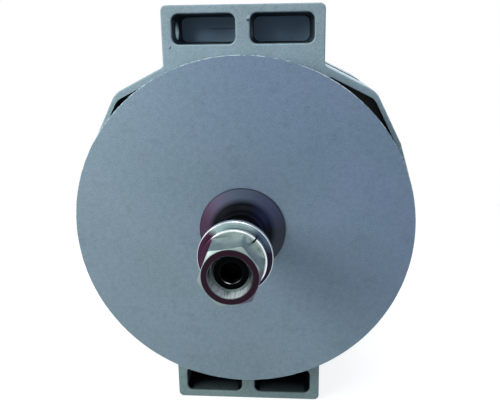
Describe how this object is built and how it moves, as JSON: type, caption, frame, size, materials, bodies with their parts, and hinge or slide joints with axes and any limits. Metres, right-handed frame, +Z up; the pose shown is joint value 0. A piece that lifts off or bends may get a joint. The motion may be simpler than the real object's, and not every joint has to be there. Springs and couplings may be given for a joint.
{
  "type": "alternator",
  "caption": "Heavy-duty brushless alternator with an external fan disc, cast housings with mounting wings, rear terminals and a bare shaft end for a pulley.",
  "frame": {"origin": "on the shaft's axis, at the shoulder that a pulley is clamped against", "axes": "-Y forward along the shaft out of the drive end, +Z up through the upper wings, +X to the right as seen from the drive end"},
  "size_m": [0.196, 0.2857, 0.242],
  "materials": {
    "cast_aluminium": "blasted, matte",
    "fan_aluminium": "blasted, matte",
    "dark_steel": "turned, oil-dark",
    "zinc_steel": "bright zinc plate",
    "bearing_steel": "ground",
    "lamination_steel": "bare lamination edges",
    "pole_steel": "forged",
    "ring_steel": "non-magnetic, brazed",
    "enamelled_copper": "varnished winding",
    "lead_sleeve": "insulated lead",
    "bearing_seal": "moulded rubber",
    "cage_brass": "machined cage",
    "heat_sink": "plain plate",
    "diode_metal": "nickel plate",
    "insulator": "moulded black",
    "regulator_case": "moulded black",
    "cover_paint": "satin black",
    "terminal_brass": "plated stud"
  },
  "bodies": {
    "housing": {"drive_end_housing": "cast_aluminium", "rear_housing": "cast_aluminium", "stator_core": "lamination_steel", "stator_winding": "enamelled_copper", "through_bolts": "zinc_steel", "field_core": "pole_steel", "field_coil": "enamelled_copper", "field_core_screws": "zinc_steel", "front_bearing_outer_race": "bearing_steel", "front_bearing_seals": "bearing_seal", "bearing_retainer": "zinc_steel", "retainer_screws": "zinc_steel", "rear_bearing_outer_race": "bearing_steel", "negative_heat_sink": "heat_sink", "positive_heat_sink": "heat_sink", "diodes": "diode_metal", "rectifier_bushes": "insulator", "rectifier_screws": "zinc_steel", "phase_leads": "lead_sleeve", "voltage_regulator": "regulator_case", "regulator_screws": "zinc_steel", "rear_cover": "cover_paint", "cover_screws": "zinc_steel", "output_stud": "terminal_brass", "output_bush": "insulator", "output_washer": "zinc_steel", "output_nut": "zinc_steel", "ground_stud": "zinc_steel", "ground_washer": "zinc_steel", "ground_nut": "zinc_steel", "relay_stud": "terminal_brass", "relay_bush": "insulator", "relay_nut": "zinc_steel"},
    "rotor": {"rotor_shaft": "dark_steel", "front_pole": "pole_steel", "rear_pole": "pole_steel", "pole_ring": "ring_steel", "fan": "fan_aluminium", "fan_collar": "dark_steel", "inner_spacer": "dark_steel", "front_bearing_inner_race": "bearing_steel", "rear_bearing_inner_race": "bearing_steel"},
    "front_ball_train": {"front_bearing_balls": "bearing_steel", "front_bearing_cage": "cage_brass"},
    "rear_roller_train": {"rear_bearing_rollers": "bearing_steel", "rear_bearing_cage": "cage_brass"},
    "pulley_fasteners": {"pulley_nut": "zinc_steel", "lock_washer": "dark_steel", "flat_washer": "zinc_steel"}
  },
  "joints": [
    {"name": "rotor_spin", "type": "hinge", "parent": "housing", "child": "rotor", "pos_m": [0, 0.1, 0], "axis": [0, 1, 0], "continuous": true},
    {"name": "front_bearing_spin", "type": "hinge", "parent": "housing", "child": "front_ball_train", "pos_m": [0, 0.0525, 0], "axis": [0, 1, 0], "continuous": true},
    {"name": "rear_bearing_spin", "type": "hinge", "parent": "housing", "child": "rear_roller_train", "pos_m": [0, 0.1455, 0], "axis": [0, 1, 0], "continuous": true},
    {"name": "pulley_nut_slide", "type": "slide", "parent": "rotor", "child": "pulley_fasteners", "axis": [0, -1, 0], "range_m": [0, 0.075]}
  ],
  "couplings": [
    {"joint": "front_bearing_spin", "follows": "rotor_spin", "ratio": 0.3669},
    {"joint": "rear_bearing_spin", "follows": "rotor_spin", "ratio": 0.3922}
  ]
}
